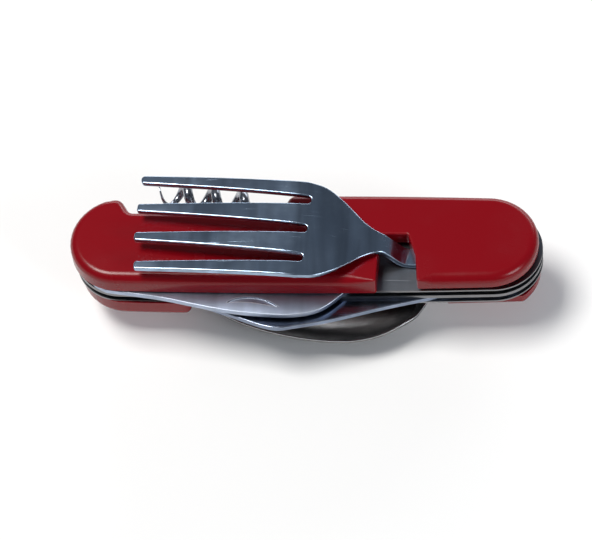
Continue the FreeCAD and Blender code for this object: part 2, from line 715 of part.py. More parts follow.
def half_egg(shrink, rim):
    """The bowl's solid form: two half ellipsoids that meet at the bowl's widest section."""
    half, deep = dim("bowl_half") - shrink, dim("bowl_deep") - shrink
    middle = Vector(-dim("bowl_middle"), 0, rim)
    floor = dim("bowl_flat") - dim("bowl_deep") + shrink
    halves = []
    for length, left in ((dim("bowl_front"), -100), (dim("bowl_rear"), 0)):
        matrix = FreeCAD.Matrix()
        matrix.scale(length - shrink, half, deep)
        ball = Part.makeSphere(1.0).transformGeometry(matrix)
        keep = Part.makeBox(100, 200, -floor, Vector(left, -100, floor))
        quarter = ball.common(keep)
        quarter.translate(middle)
        halves.append(quarter)
    return halves[0].fuse(halves[1])


def make_spoon():
    """The spoon: an egg-shaped bowl that opens towards the handle, on a stepped neck."""
    node = doc.addObject("Part::Feature", "spoon")
    thick = dim("spoon_thick")
    rim = level(BACK_OUTER) - dim("shank_lift") - dim("spoon_drop")
    outside = half_egg(0, rim)
    inside = half_egg(thick, rim)

    shank, bend, run = dim("shank_half"), dim("spoon_bend"), dim("spoon_bend_run")
    end = bend + run + 5.5
    under = lambda s: spoon_height(s) - thick
    stops = [bend + n * run / 6 for n in range(1, 7)] + [bend + run + 2, end + 1]
    band = strip(under, thick, 20, bend, stops)
    side = [(bend - 1, shank), (bend + 2.5, shank + 0.3), (bend + run, 6.2), (end, 11.0)]
    edges = []
    for sign in (1, -1):
        edges.append(smooth_wire([(-s, sign * v, 0) for s, v in side]))
        edges.append(Part.makeLine(Vector(0, sign * shank, 0), Vector(1 - bend, sign * shank, 0)))
    edges.append(Part.makeLine(Vector(0, shank, 0), Vector(0, -shank, 0)))
    edges.append(Part.makeLine(Vector(-end, 11.0, 0), Vector(-end, -11.0, 0)))
    plan = closed_face(edges)
    plan.translate(Vector(0, 0, -20))
    neck = band.common(plan.extrude(Vector(0, 0, 20)))
    eye_low = level(BACK_OUTER) - dim("shank_lift") - thick
    eye = Part.makeCylinder(dim("tang_half"), thick, Vector(0, 0, eye_low))
    shape = outside.fuse([neck, eye]).cut(inside)
    hole = dim("pivot_pin") + dim("run_fit")
    shape = shape.cut(Part.makeCylinder(hole, 40, Vector(0, 0, -30)))
    node.Shape = shape.removeSplitter()
    settle(node, Vector(dim("pivot_right"), dim("pivot_side"), 0), dim("spoon_turn"))
    return node


# ---------------------------------------------------------------- corkscrew
def worm_point(t, begin):
    """A point of the worm's centre line; it leaves the shank's axis over the first half turn."""
    radius = dim("worm_radius") * ramp(t, 0.0, 0.6)
    angle = 2 * math.pi * t + math.pi / 2
    return Vector(-begin - t * dim("worm_pitch"), radius * math.cos(angle), radius * math.sin(angle))


def make_corkscrew():
    node = doc.addObject("Part::Feature", "corkscrew")
    wire, turns, begin = dim("wire_radius"), dim("worm_turns"), dim("worm_start")
    flat, eye = dim("screw_flat"), dim("screw_eye")
    steps = 60
    points = [worm_point(turns * n / steps, begin) for n in range(steps + 1)]
    path = Part.BSplineCurve()
    path.interpolate(points)
    spine = Part.Wire(path.toShape())
    start = Part.Wire(Part.makeCircle(wire, points[0], path.tangent(path.FirstParameter)[0]))
    worm = spine.makePipeShell([start], True, False)
    heading = path.tangent(path.LastParameter)[0]
    tip = Part.makeCone(wire * 0.99, 0.25, 2.4, points[-1] - heading * 0.1, heading)
    neck_long = begin - flat + 1.6
    shank = Part.makeCylinder(dim("screw_shank"), neck_long, Vector(1 - flat, 0, 0), Vector(-1, 0, 0))
    thick = dim("tool_thick")
    tang = Part.makeBox(flat + 0.6, 2 * wire + 0.8, thick, Vector(-flat - 0.6, -wire - 0.4, -thick / 2))
    disc = Part.makeCylinder(eye, thick, Vector(0, 0, -thick / 2))
    shape = worm.fuse([tip, shank, tang, disc])
    hole = dim("screw_pin") + dim("run_fit")
    shape = shape.cut(Part.makeCylinder(hole, 10, Vector(0, 0, -5)))
    node.Shape = shape.removeSplitter()
    middle = level(f"{FRONT_LAYER} + dims.layer_gap / 2")
    settle(node, Vector(dim("screw_pivot"), dim("screw_side"), middle), dim("screw_turn"))
    return node


# ---------------------------------------------------------------- the whole object
BUSH_BACK = f"{BACK_OUTER} - dims.bush_tall"
nodes = [
    make_scale("front"),
    make_liner("front_outer_liner", FRONT_OUTER, [PIVOT_LEFT, PIVOT_RIGHT, SCREW_HOLE] + SPRING_HOLES),
    make_spring("opener_spring", FRONT_LAYER, True),
    make_liner(
        "front_inner_liner", FRONT_INNER,
        [PIVOT_LEFT, PIVOT_RIGHT, SCREW_HOLE] + SPRING_HOLES + STUD_HOLES,
    ),
    make_headed_rivet("fork_rivet", "front"),
    make_rings("fork_spacer", [PIVOT_RIGHT], FRONT_LAYER, "dims.layer_gap", "2.4"),
    make_rivets("opener_rivet", [PIVOT_LEFT], FRONT_INNER, f"dims.bush_tall - ({FRONT_INNER})"),
    make_rings("opener_bush", [PIVOT_LEFT], "0 * dims.bush_tall", "dims.bush_tall", "dims.bush_wall"),
    make_rivets("front_spring_rivets", SPRING_HOLES, FRONT_INNER, f"dims.bush_tall - ({FRONT_INNER})"),
    make_rings("front_bushes", SPRING_HOLES, "0 * dims.bush_tall", "dims.bush_tall", "dims.bush_wall"),
    make_rivets("corkscrew_rivet", [SCREW_HOLE], FRONT_INNER, f"-({FRONT_INNER})"),
    make_studs(),
    make_scale("back"),
    make_liner("back_outer_liner", BACK_OUTER, [PIVOT_LEFT, PIVOT_RIGHT] + SPRING_HOLES),
    make_spring("knife_spring", BACK_LAYER, False),
    make_liner("back_inner_liner", BACK_INNER, [PIVOT_LEFT, PIVOT_RIGHT] + SPRING_HOLES, True),
    make_headed_rivet("knife_rivet", "back"),
    make_rivets("end_rivet", [PIVOT_LEFT], BACK_OUTER, f"{BACK_TOP} - ({BACK_OUTER})"),
    make_rivets("back_spring_rivets", SPRING_HOLES, BUSH_BACK, f"{BACK_TOP} - ({BUSH_BACK})"),
    make_rings("back_bushes", SPRING_HOLES, BUSH_BACK, "dims.bush_tall", "dims.bush_wall"),
    make_fork(),
    make_opener(),
    make_corkscrew(),
    make_knife(),
    make_spoon(),
]
doc.recompute()

for item in doc.Objects:
    if "Invalid" in item.State or "Error" in item.State:
        raise RuntimeError(f"{item.Label} is {item.State}")

os.makedirs("parts", exist_ok=True)
for node in nodes:
    if node.Shape.isNull() or not node.Shape.isValid():
        raise RuntimeError(f"{node.Label} has a bad shape")
    node.Shape.exportStep(f"parts/{node.Label}.step")
    box = node.Shape.BoundBox
    print(f"{node.Label}: {len(node.Shape.Solids)} solid(s), Z {box.ZMin:.2f} to {box.ZMax:.2f}")
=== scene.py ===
import math

import bmesh
import bpy
from mathutils import Matrix, Vector


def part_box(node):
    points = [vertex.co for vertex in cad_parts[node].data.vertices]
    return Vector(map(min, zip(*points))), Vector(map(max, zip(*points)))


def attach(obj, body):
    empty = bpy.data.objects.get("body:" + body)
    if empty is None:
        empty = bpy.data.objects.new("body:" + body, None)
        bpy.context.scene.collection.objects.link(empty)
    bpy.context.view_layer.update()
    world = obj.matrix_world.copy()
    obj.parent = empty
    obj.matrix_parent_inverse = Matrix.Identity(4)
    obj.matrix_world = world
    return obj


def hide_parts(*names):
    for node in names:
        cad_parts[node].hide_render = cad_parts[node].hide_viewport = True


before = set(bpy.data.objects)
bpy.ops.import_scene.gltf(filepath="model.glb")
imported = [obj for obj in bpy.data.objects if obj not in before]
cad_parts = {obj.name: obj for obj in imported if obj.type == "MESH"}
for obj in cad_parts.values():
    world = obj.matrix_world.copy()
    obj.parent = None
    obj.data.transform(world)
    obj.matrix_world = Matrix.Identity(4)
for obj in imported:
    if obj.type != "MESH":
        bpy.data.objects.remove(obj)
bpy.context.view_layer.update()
print("frame loaded")

mm = 0.001
scaleLow, scaleHigh = (Vector(c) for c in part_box("front_scale"))
backHigh = Vector(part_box("back_scale")[1])
leftReach = 52.2 * mm  # from the handle's middle to the left end of the front scale
handle = Vector((scaleLow.x + leftReach, (scaleLow.y + scaleHigh.y) / 2, scaleLow.z))  # on the top liner


def middleOf(name):
    low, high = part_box(name)
    return (Vector(low) + Vector(high)) / 2


forkPivot, backPivot = middleOf("fork_rivet").to_2d(), middleOf("knife_rivet").to_2d()
openerPivot = middleOf("opener_rivet").to_2d()


# Catmull-Rom through points, ends held
def smooth(points, per=8):
    pts = [Vector(p) for p in points]
    pts = [2 * pts[0] - pts[1]] + pts + [2 * pts[-1] - pts[-2]]
    out = []
    for a, b, c, d in zip(pts, pts[1:], pts[2:], pts[3:]):
        for n in range(per):
            t = n / per
            out.append(0.5 * (2 * b + (c - a) * t + (2 * a - 5 * b + 4 * c - d) * t * t
                              + (3 * b - a - 3 * c + d) * t ** 3))
    return out + [pts[-2]]


# closed outline of (x, y, radius) corners, each rounded by its radius
def rounded(corners, per=7):
    out = []
    count = len(corners)
    for n, (x, y, r) in enumerate(corners):
        here = Vector((x, y))
        if r <= 0:
            out.append(here)
            continue
        before = (Vector(corners[n - 1][:2]) - here).normalized()
        after = (Vector(corners[(n + 1) % count][:2]) - here).normalized()
        half = before.angle(after) / 2
        reach = r / math.tan(half)
        centre = here + (before + after).normalized() * r / math.sin(half)
        start, end = here + before * reach - centre, here + after * reach - centre
        turn = start.angle_signed(end)
        for k in range(per + 1):
            out.append(centre + Matrix.Rotation(-turn * k / per, 2) @ start)
    return out


def ramp(s, start, run):
    u = min(max((s - start) / run, 0.0), 1.0)
    return (1 - math.cos(math.pi * u)) / 2


# each point moved to its left by its own amount; corners are mitred
def offsetLoop(loop, amounts):
    out = []
    count = len(loop)
    for n, p in enumerate(loop):
        before, after = p - loop[n - 1], loop[(n + 1) % count] - p
        first = Vector((-before.y, before.x)).normalized()
        second = Vector((-after.y, after.x)).normalized()
        lean = (first + second).normalized()
        out.append(p + lean * amounts[n] / max(lean.dot(first), 0.45))
    return out


# the loop without doubled points, in the wanted direction
def turned(points, anticlockwise):
    loop = [Vector(p[:2]) for p in points]
    loop = [p for n, p in enumerate(loop) if (p - loop[n - 1]).length > 0.02]
    area = sum(p.cross(loop[(n + 1) % len(loop)]) for n, p in enumerate(loop))
    return loop if (area > 0) == anticlockwise else loop[::-1]


# a closed plate in mm: profile gives, for an outline point, its (inset, height) steps from the bottom up
def plate(outline, profile, holes=()):
    bm = bmesh.new()
    ends = ([], [])
    for number, points in enumerate([outline] + list(holes)):
        loop = turned(points, number == 0)
        steps = [profile(p) for p in loop]
        rows = []
        for k in range(len(steps[0])):
            moved = offsetLoop(loop, [step[k][0] for step in steps])
            places = [(q.x * mm, q.y * mm, step[k][1] * mm) for q, step in zip(moved, steps)]
            rows.append([bm.verts.new(place) for place in places])
        for low, high in zip(rows, rows[1:]):
            for n in range(len(loop)):
                m = (n + 1) % len(loop)
                bm.faces.new((low[n], low[m], high[m], high[n]))
        for end, row in zip(ends, (rows[0], rows[-1])):
            end += [bm.edges.get((row[n], row[(n + 1) % len(row)])) for n in range(len(row))]
    for end in ends:
        if holes:
            bmesh.ops.triangle_fill(bm, edges=end, use_beauty=True)
        else:
            cap = bmesh.ops.contextual_create(bm, geom=end)["faces"]
            bmesh.ops.triangulate(bm, faces=cap, ngon_method="EAR_CLIP")
    bmesh.ops.recalc_face_normals(bm, faces=bm.faces)
    return bm


# profile of a sheet of metal centred on z = 0, both edges rounded
def roundedEdges(thick, edge, steps=4):
    angles = [math.pi / 2 * k / steps for k in range(steps + 1)]
    arc = [(edge * (1 - math.cos(a)), edge * math.sin(a)) for a in angles]
    half = thick / 2 - edge
    both = [(inset, -half - rise) for inset, rise in reversed(arc)]
    both += [(inset, half + rise) for inset, rise in arc]
    return lambda p: both


def sheetFrom(outline, thick, edge, holes=()):
    return plate(outline, roundedEdges(thick, edge), holes)


# cuts the mesh at stops along an axis, so that it can bend
def cutRows(bm, stops, axis):
    normal = Vector((1, 0, 0)) if axis == 0 else Vector((0, 1, 0))
    for stop in stops:
        point = normal * stop * mm
        bmesh.ops.bisect_plane(bm, geom=bm.verts[:] + bm.edges[:] + bm.faces[:], plane_co=point,
                               plane_no=normal, dist=0.002 * mm)


# the first mesh less the second
def cutAway(bm, cutter):
    pieces = []
    for part in (bm, cutter):
        mesh = bpy.data.meshes.new("blank")
        part.to_mesh(mesh)
        part.free()
        piece = bpy.data.objects.new("blank", mesh)
        bpy.context.scene.collection.objects.link(piece)
        pieces.append(piece)
    hollow = pieces[0].modifiers.new("Cut", "BOOLEAN")
    hollow.object = pieces[1]
    hollow.solver = "EXACT"
    graph = bpy.context.evaluated_depsgraph_get()
    done = bpy.data.meshes.new_from_object(pieces[0].evaluated_get(graph))
    for piece in pieces:
        bpy.data.objects.remove(piece)
    made = bmesh.new()
    made.from_mesh(done)
    bpy.data.meshes.remove(done)
    return made


# makes the object, shades it and ties it to its body
def finishPiece(name, bm, material, body, crease=38, replaced=(), weighted=True):
    bmesh.ops.recalc_face_normals(bm, faces=bm.faces)
    for face in bm.faces:
        face.smooth = True
    for e in bm.edges:
        e.smooth = len(e.link_faces) == 2 and e.calc_face_angle(0) < math.radians(crease)
    mesh = bpy.data.meshes.new(name)
    bm.to_mesh(mesh)
    bm.free()
    mesh.materials.append(material)
    obj = bpy.data.objects.new(name, mesh)
    bpy.context.scene.collection.objects.link(obj)
    if weighted:
        fair = obj.modifiers.new("Weighted Normal", "WEIGHTED_NORMAL")
        fair.keep_sharp = True
    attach(obj, body)
    if replaced:
        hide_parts(*replaced)
    return obj


# moves a mesh from a piece's own frame to its place in the row
def placed(bm, at, turn=0.0):
    swing = Matrix.Rotation(math.radians(turn), 4, "Z")
    bmesh.ops.transform(bm, matrix=Matrix.Translation(at) @ swing, verts=bm.verts)


def newGroup(name, inputs, outputs):
    group = bpy.data.node_groups.new(name, "ShaderNodeTree")
    for label, kind, value in inputs:
        socket = group.interface.new_socket(label, in_out="INPUT", socket_type=kind)
        if value is not None:
            socket.default_value = value
    for label, kind in outputs:
        group.interface.new_socket(label, in_out="OUTPUT", socket_type=kind)
    return group, group.nodes.new("NodeGroupInput"), group.nodes.new("NodeGroupOutput")


def node(tree, kind, **values):
    made = tree.nodes.new(kind)
    for key, value in values.items():
        if key.startswith("in_"):
            made.inputs[key[3:]].default_value = value
        else:
            setattr(made, key, value)
    return made


def mathNode(tree, operation, first, second=None, clamp=False):
    made = tree.nodes.new("ShaderNodeMath")
    made.operation = operation
    made.use_clamp = clamp
    for socket, value in zip(made.inputs, (first, second)):
        if value is None:
            continue
        if isinstance(value, (int, float)):
            socket.default_value = value
        else:
            tree.links.new(value, socket)
    return made.outputs[0]


# fine drawn grain along X with a few longer scratches: a height and a mask
def grainGroup():
    group, inn, out = newGroup(
        "drawnGrain",
        [("Vector", "NodeSocketVector", None), ("Density", "NodeSocketFloat", 1.0)],
        [("Height", "NodeSocketFloat"), ("Mask", "NodeSocketFloat")])
    link = group.links.new
    stretch = node(group, "ShaderNodeMapping")
    stretch.inputs["Scale"].default_value = (160, 5200, 5200)
    link(inn.outputs["Vector"], stretch.inputs["Vector"])
    fine = node(group, "ShaderNodeTexNoise", in_Scale=1.0, in_Detail=3.0, in_Roughness=0.7)
    link(stretch.outputs[0], fine.inputs["Vector"])
    tilt = node(group, "ShaderNodeMapping")
    tilt.inputs["Rotation"].default_value = (0, 0, 0.32)
    tilt.inputs["Scale"].default_value = (70, 2300, 800)
    link(inn.outputs["Vector"], tilt.inputs["Vector"])
    long = node(group, "ShaderNodeTexNoise", in_Scale=1.0, in_Detail=1.0)
    link(tilt.outputs[0], long.inputs["Vector"])
    cut = node(group, "ShaderNodeMapRange", clamp=True)
    cut.inputs["From Min"].default_value = 0.70
    cut.inputs["From Max"].default_value = 0.76
    link(long.outputs[0], cut.inputs["Value"])
    scratched = mathNode(group, "MULTIPLY", cut.outputs[0], inn.outputs["Density"])
    link(mathNode(group, "SUBTRACT", fine.outputs[0], scratched), out.inputs["Height"])
    half = mathNode(group, "MULTIPLY", fine.outputs[0], 0.5)
    link(mathNode(group, "ADD", half, scratched, True), out.inputs["Mask"])
    return group


# soft handling marks: a mask of broad clouds broken by smaller ones
def smudgeGroup():
    group, inn, out = newGroup(
        "handlingMarks",
        [("Vector", "NodeSocketVector", None), ("Size", "NodeSocketFloat", 90.0)],
        [("Mask", "NodeSocketFloat")])
    link = group.links.new
    broad = node(group, "ShaderNodeTexNoise", in_Detail=2.0)
    small = node(group, "ShaderNodeTexNoise", in_Detail=5.0, in_Roughness=0.65)
    link(inn.outputs["Vector"], broad.inputs["Vector"])
    link(inn.outputs["Vector"], small.inputs["Vector"])
    link(inn.outputs["Size"], broad.inputs["Scale"])
    link(mathNode(group, "MULTIPLY", inn.outputs["Size"], 6.0), small.inputs["Scale"])
    soft = node(group, "ShaderNodeMapRange", clamp=True)
    soft.inputs["From Min"].default_value = 0.42
    soft.inputs["From Max"].default_value = 0.68
    link(broad.outputs[0], soft.inputs["Value"])
    link(mathNode(group, "MULTIPLY", soft.outputs[0], small.outputs[0], True), out.inputs["Mask"])
    return group


# painted reflection: broad soft stripes across X that raise and lower the base colour, as a polished sheet's
# reflections do: a factor round 1
def reflectionBandGroup():
    group, inn, out = newGroup(
        "paintedReflectionBands",
        [("Vector", "NodeSocketVector", None), ("Depth", "NodeSocketFloat", 0.35)],
        [("Factor", "NodeSocketFloat")])
    link = group.links.new
    stretch = node(group, "ShaderNodeMapping")
    stretch.inputs["Rotation"].default_value = (0, 0, 0.12)
    stretch.inputs["Scale"].default_value = (170, 22, 60)
    link(inn.outputs["Vector"], stretch.inputs["Vector"])
    cloud = node(group, "ShaderNodeTexNoise", in_Scale=1.0, in_Detail=2.5, in_Roughness=0.6)
    cloud.inputs["Distortion"].default_value = 0.4
    link(stretch.outputs[0], cloud.inputs["Vector"])
    swing = mathNode(group, "MULTIPLY", mathNode(group, "SUBTRACT", cloud.outputs[0], 0.5), 4.0)
    deep = mathNode(group, "MULTIPLY", swing, inn.outputs["Depth"])
    link(mathNode(group, "ADD", deep, 1.0), out.inputs["Factor"])
    return group


# edge mask, for rubbing and for a painted edge highlight: from the bevelled normal against the true one
def edgeWearHighlightGroup():
    group, inn, out = newGroup(
        "edgeWearAndHighlight", [("Radius", "NodeSocketFloat", 0.0004)], [("Mask", "NodeSocketFloat")])
    link = group.links.new
    bevel = node(group, "ShaderNodeBevel", samples=6)
    link(inn.outputs["Radius"], bevel.inputs["Radius"])
    geometry = node(group, "ShaderNodeNewGeometry")
    dot = node(group, "ShaderNodeVectorMath", operation="DOT_PRODUCT")
    link(bevel.outputs[0], dot.inputs[0])
    link(geometry.outputs["Normal"], dot.inputs[1])
    edge = node(group, "ShaderNodeMapRange", clamp=True)
    edge.inputs["From Min"].default_value = 0.985
    edge.inputs["From Max"].default_value = 0.90
    link(dot.outputs["Value"], edge.inputs["Value"])
    link(edge.outputs[0], out.inputs["Mask"])
    return group


groups = {"grain": grainGroup(), "marks": smudgeGroup(), "reflectionBands": reflectionBandGroup(), "wearAndHighlight": edgeWearHighlightGroup()}


def newMaterial(name):
    material = bpy.data.materials.new(name)
    material.use_nodes = True
    tree = material.node_tree
    shader = tree.nodes["Principled BSDF"]
    coords = tree.nodes.new("ShaderNodeTexCoord")
    return material, tree, shader, coords.outputs["Object"]


def use(tree, name, vector=None, **values):
    made = tree.nodes.new("ShaderNodeGroup")
    made.node_tree = groups[name]
    if vector is not None:
        tree.links.new(vector, made.inputs["Vector"])
    for key, value in values.items():
        made.inputs[key].default_value = value
    return made


def mixColour(tree, factor, a, b):
    mix = tree.nodes.new("ShaderNodeMix")
    mix.data_type = "RGBA"
    tree.links.new(factor, mix.inputs["Factor"])
    for socket, value in ((mix.inputs[6], a), (mix.inputs[7], b)):
        if isinstance(value, tuple):
            socket.default_value = (*value, 1)
        else:
            tree.links.new(value, socket)
    return mix.outputs[2]


# metal with drawn grain, handling marks, and edges brightened by rubbing and by a painted edge highlight
def steel(name, tint, bright, rough, bump=0.02, grain=1.0, reflectionBands=0.25):
    material, tree, shader, where = newMaterial(name)
    drawn = use(tree, "grain", where, Density=grain)
    marks = use(tree, "marks", where, Size=120.0)
    wornAndLit = use(tree, "wearAndHighlight")
    sheen = use(tree, "reflectionBands", where, Depth=reflectionBands)
    dulled = tuple(c * 0.72 for c in tint)
    base = mixColour(tree, mathNode(tree, "MULTIPLY", marks.outputs[0], 0.55), tint, dulled)
    # painted reflection: the base colour scaled up and down in soft stripes
    banded = tree.nodes.new("ShaderNodeVectorMath")
    banded.operation = "SCALE"
    tree.links.new(base, banded.inputs[0])
    tree.links.new(sheen.outputs[0], banded.inputs["Scale"])
    # edges mixed towards the bright colour: rubbing plus a painted edge highlight
    colour = mixColour(tree, wornAndLit.outputs[0], banded.outputs[0], bright)
    tree.links.new(colour, shader.inputs["Base Color"])
    shader.inputs["Metallic"].default_value = 1.0
    roughness = mathNode(tree, "ADD", mathNode(tree, "MULTIPLY", drawn.outputs["Mask"], 0.10), rough)
    roughness = mathNode(tree, "ADD", roughness, mathNode(tree, "MULTIPLY", marks.outputs[0], 0.14))
    tree.links.new(roughness, shader.inputs["Roughness"])
    relief = tree.nodes.new("ShaderNodeBump")
    relief.inputs["Strength"].default_value = 0.35
    relief.inputs["Distance"].default_value = bump * mm
    tree.links.new(drawn.outputs["Height"], relief.inputs["Height"])
    tree.links.new(relief.outputs[0], shader.inputs["Normal"])
    return material


# deep red moulded plastic: fine orange peel, faint handling marks, edges paler from rubbing and from a
# painted edge highlight
def redPlastic():
    material, tree, shader, where = newMaterial("redPlastic")
    marks = use(tree, "marks", where, Size=70.0)
    wornAndLit = use(tree, "wearAndHighlight", Radius=0.0006)
    deep, handled, rubbedAndHighlit = (0.20, 0.0002, 0.0040), (0.175, 0.0004, 0.0050), (0.42, 0.010, 0.022)
    base = mixColour(tree, mathNode(tree, "MULTIPLY", marks.outputs[0], 0.5), deep, handled)
    # edges mixed 35% towards a paler red: rubbing plus a painted edge highlight
    colour = mixColour(tree, mathNode(tree, "MULTIPLY", wornAndLit.outputs[0], 0.35), base, rubbedAndHighlit)
    tree.links.new(colour, shader.inputs["Base Color"])
    shader.inputs["IOR"].default_value = 1.49
    shader.inputs["Specular IOR Level"].default_value = 0.26
    shader.inputs["Coat Weight"].default_value = 0.08
    shader.inputs["Coat Roughness"].default_value = 0.12
    rough = mathNode(tree, "ADD", mathNode(tree, "MULTIPLY", marks.outputs[0], 0.12), 0.24)
    tree.links.new(rough, shader.inputs["Roughness"])
    peel = node(tree, "ShaderNodeTexNoise", in_Scale=900.0, in_Detail=2.0)
    tree.links.new(where, peel.inputs["Vector"])
    relief = tree.nodes.new("ShaderNodeBump")
    relief.inputs["Strength"].default_value = 0.18
    relief.inputs["Distance"].default_value = 0.05 * mm
    tree.links.new(peel.outputs[0], relief.inputs["Height"])
    tree.links.new(relief.outputs[0], shader.inputs["Normal"])
    return material


finish = {
    "red": redPlastic(),
    # the blue in the polished, blade and opener tints is a painted sky reflection; plain steel is grey
    "polished": steel("polishedSteel", (0.30, 0.39, 0.51), (0.66, 0.72, 0.80), 0.15, reflectionBands=0.45),
    # painted shade: the blade's tint is darkened for its shadowed flat
    "blade": steel("bladeSteelShaded", (0.20, 0.24, 0.33), (0.70, 0.73, 0.78), 0.13, grain=0.6, reflectionBands=0.40),
    "opener": steel("openerSteel", (0.38, 0.44, 0.56), (0.74, 0.77, 0.82), 0.34, grain=0.6),
    # painted shade: the spoon's tint is darkened for its shadowed bowl
    "spoon": steel("spoonSteelShaded", (0.17, 0.165, 0.165), (0.66, 0.68, 0.72), 0.15, grain=0.5),
    "liner": steel("linerSteel", (0.19, 0.205, 0.23), (0.30, 0.285, 0.275), 0.28),
    "spring": steel("springSteel", (0.30, 0.30, 0.31), (0.58, 0.58, 0.58), 0.32, bump=0.03),
    "rivet": steel("rivetSteel", (0.44, 0.45, 0.46), (0.70, 0.70, 0.70), 0.26),
    "wire": steel("wireSteel", (0.30, 0.32, 0.36), (0.80, 0.80, 0.82), 0.17),
    "brass": steel("brass", (0.55, 0.38, 0.15), (0.80, 0.62, 0.30), 0.28),
}
print("materials made")

carriedOver = {
    "liner": ("front_outer_liner", "front_inner_liner", "back_inner_liner", "back_outer_liner"),
    "spring": ("opener_spring", "knife_spring"),
    "rivet": ("fork_rivet", "knife_rivet", "opener_rivet", "end_rivet", "corkscrew_rivet",
              "front_spring_rivets", "back_spring_rivets", "key_studs"),
    "brass": ("fork_spacer", "opener_bush", "front_bushes", "back_bushes"),
}
for key, slotNodes in carriedOver.items():
    for name in slotNodes:
        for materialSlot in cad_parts[name].material_slots:
            materialSlot.material = finish[key]


# half width of the handle at x
def sideOf(x, spec):
    middle = (spec["left"] + spec["right"]) / 2
    reach = (spec["right"] - spec["left"]) / 2 - spec["end"]
    return spec["wide"] - (spec["wide"] - spec["end"]) * ((x - middle) / reach) ** 2


# outline of a scale in the handle's frame, with its bay, notch and any relief
def scalePlan(spec):
    left, right, end = spec["left"] + spec["end"], spec["right"] - spec["end"], spec["end"]
    bay0, bay1, floor = spec["bay"]
    n0, n1, top = spec["notch"]
    low = spec.get("relief")
    points = []

    def side(a, b, sign, count=10):
        for k in range(count + 1):
            x = a + (b - a) * k / count
            y = sideOf(x, spec) if sign > 0 else -sideOf(x, spec)
            points.append((x, y, 0))

    if low:
        start, edge, r = low
        side(left, start - r, -1, 6)
        points.append((start, -sideOf(start, spec), r * 0.98))
        points.append((start, edge, r * 0.98))
        points.append((n0, edge, 0.5))
        points.append((n0, top, 0.5))
        points.append((n1, top, 0.5))
        points.append((n1, edge, 0.5))
        reach = math.acos(-edge / end)
        first = -math.pi / 2 + reach
        points.append((right + end * math.cos(first), edge, 1.6))
    else:
        side(left, n0 - 0.6, -1)
        points.append((n0, -sideOf(n0, spec), 0.5))
        points.append((n0 + 0.4, top, 0.5))
        points.append((n1 - 2.3, top, 0.6))
        points.append((n1 - 0.5, -5.0, 2.5))
        points.append((n1, -sideOf(n1, spec), 0.5))
        side(n1 + 0.6, right, -1, 5)
        first = -math.pi / 2
    for k in range(1, 24):
        a = first + (math.pi / 2 - first) * k / 24
        points.append((right + end * math.cos(a), end * math.sin(a), 0))
    side(right, bay1 + 2.6, 1, 8)
    r = spec["bayRound"]
    points.append((bay1, sideOf(bay1, spec), r))
    points.append((bay1, floor, r * 0.85))
    points.append((bay0 + spec["lean"] / 2, floor, r * 0.8))
    points.append((bay0 - spec["lean"], end - 0.1, r))
    for k in range(3, 24):
        a = math.pi / 2 + math.pi * k / 24
        points.append((left + end * math.cos(a), end * math.sin(a), 0))
    return rounded(points)


# rounding at a point of a scale's outline: the full rim, dying out into the notch
def rimOf(p, spec):
    n0, n1, deep = spec["notch"]
    inside = n0 - 0.7 < p.x < n1 + 0.7 and p.y < deep + 0.5
    away = 0.0 if inside else max(n0 - p.x, p.x - n1) - 0.7
    if p.y > 0:
        away = 9.0 if not inside else 0.0
    u = min(max(away / 3.0, 0.0), 1.0)
    return spec["notchRound"] + (spec["rim"] - spec["notchRound"]) * u * u * (3 - 2 * u)


# one moulded scale: rounded outer edge, softly broken notch edges, slot under it
def makeScale(name, nodeName, spec, body):
    sign, thick = spec["facing"], spec["thick"]

    def profile(p):
        rim = rimOf(p, spec)
        arc = [(0.0, 0.0)]
        for k in range(11):
            a = math.pi / 2 * k / 10
            arc.append((rim * (1 - math.cos(a)), sign * (thick - rim + rim * math.sin(a))))
        return arc

    bm = plate(scalePlan(spec), profile)
    x0, x1, y0, y1, depth = spec["slot"]
    cut = bmesh.new()
    bmesh.ops.create_cube(cut, size=1.0)
    bmesh.ops.scale(cut, vec=Vector((x1 - x0, y1 - y0, 2 * depth)) * mm, verts=cut.verts)
    bmesh.ops.translate(cut, vec=Vector((x0 + x1, y0 + y1, 0)) * mm / 2, verts=cut.verts)
    bm = cutAway(bm, cut)
    bmesh.ops.translate(bm, vec=handle + Vector((0, 0, spec["base"] * mm)), verts=bm.verts)
    return finishPiece(name, bm, finish["red"], body, crease=35, replaced=(nodeName,))


stack = (scaleLow.z - backHigh.z) / mm  # liners and layers between the scales
frontScale = {
    "left": -52.2, "right": 51.8, "wide": 11.8, "end": 11.2, "thick": 4.8, "base": 0.0, "facing": 1,
    "rim": 2.05, "notchRound": 0.38, "bay": (-40.2, -4.3, 7.2), "bayRound": 2.15, "lean": 1.6,
    "notch": (16.4, 25.4, 0.7), "slot": (17.4, 80.0, -40.0, 1.7, 1.5),
}
backScale = {
    "left": -50.9, "right": 52.2, "wide": 11.8, "end": 11.2, "thick": 4.8, "base": -stack, "facing": -1,
    "rim": 1.55, "notchRound": 0.4, "bay": (-40.2, 2.2, 7.2), "bayRound": 2.1, "lean": 0.4,
    "notch": (22.4, 31.4, 3.6), "relief": (-25.4, -8.4, 1.6), "slot": (23.4, 80.0, -40.0, 1.7, 1.5),
}
makeScale("frontScale", "front_scale", frontScale, "front_half")
makeScale("backScale", "back_scale", backScale, "back_half")
print("scales made")


fork = {
    "turn": -4.3, "thick": 1.3, "lift": 0.08, "bend": 18.3, "run": 6.9, "rise": 5.15, "arch": 3.7,
    "crest": 44.0, "droop": 1.6, "long": 78.4, "tips": (0.8, 0.5, 0.0, -1.1),
    "shank": 2.2, "eye": 4.6, "half": 12.4,
    "root": 40.3, "tip": 0.98, "gap": 2.1, "edge": 0.26,
}


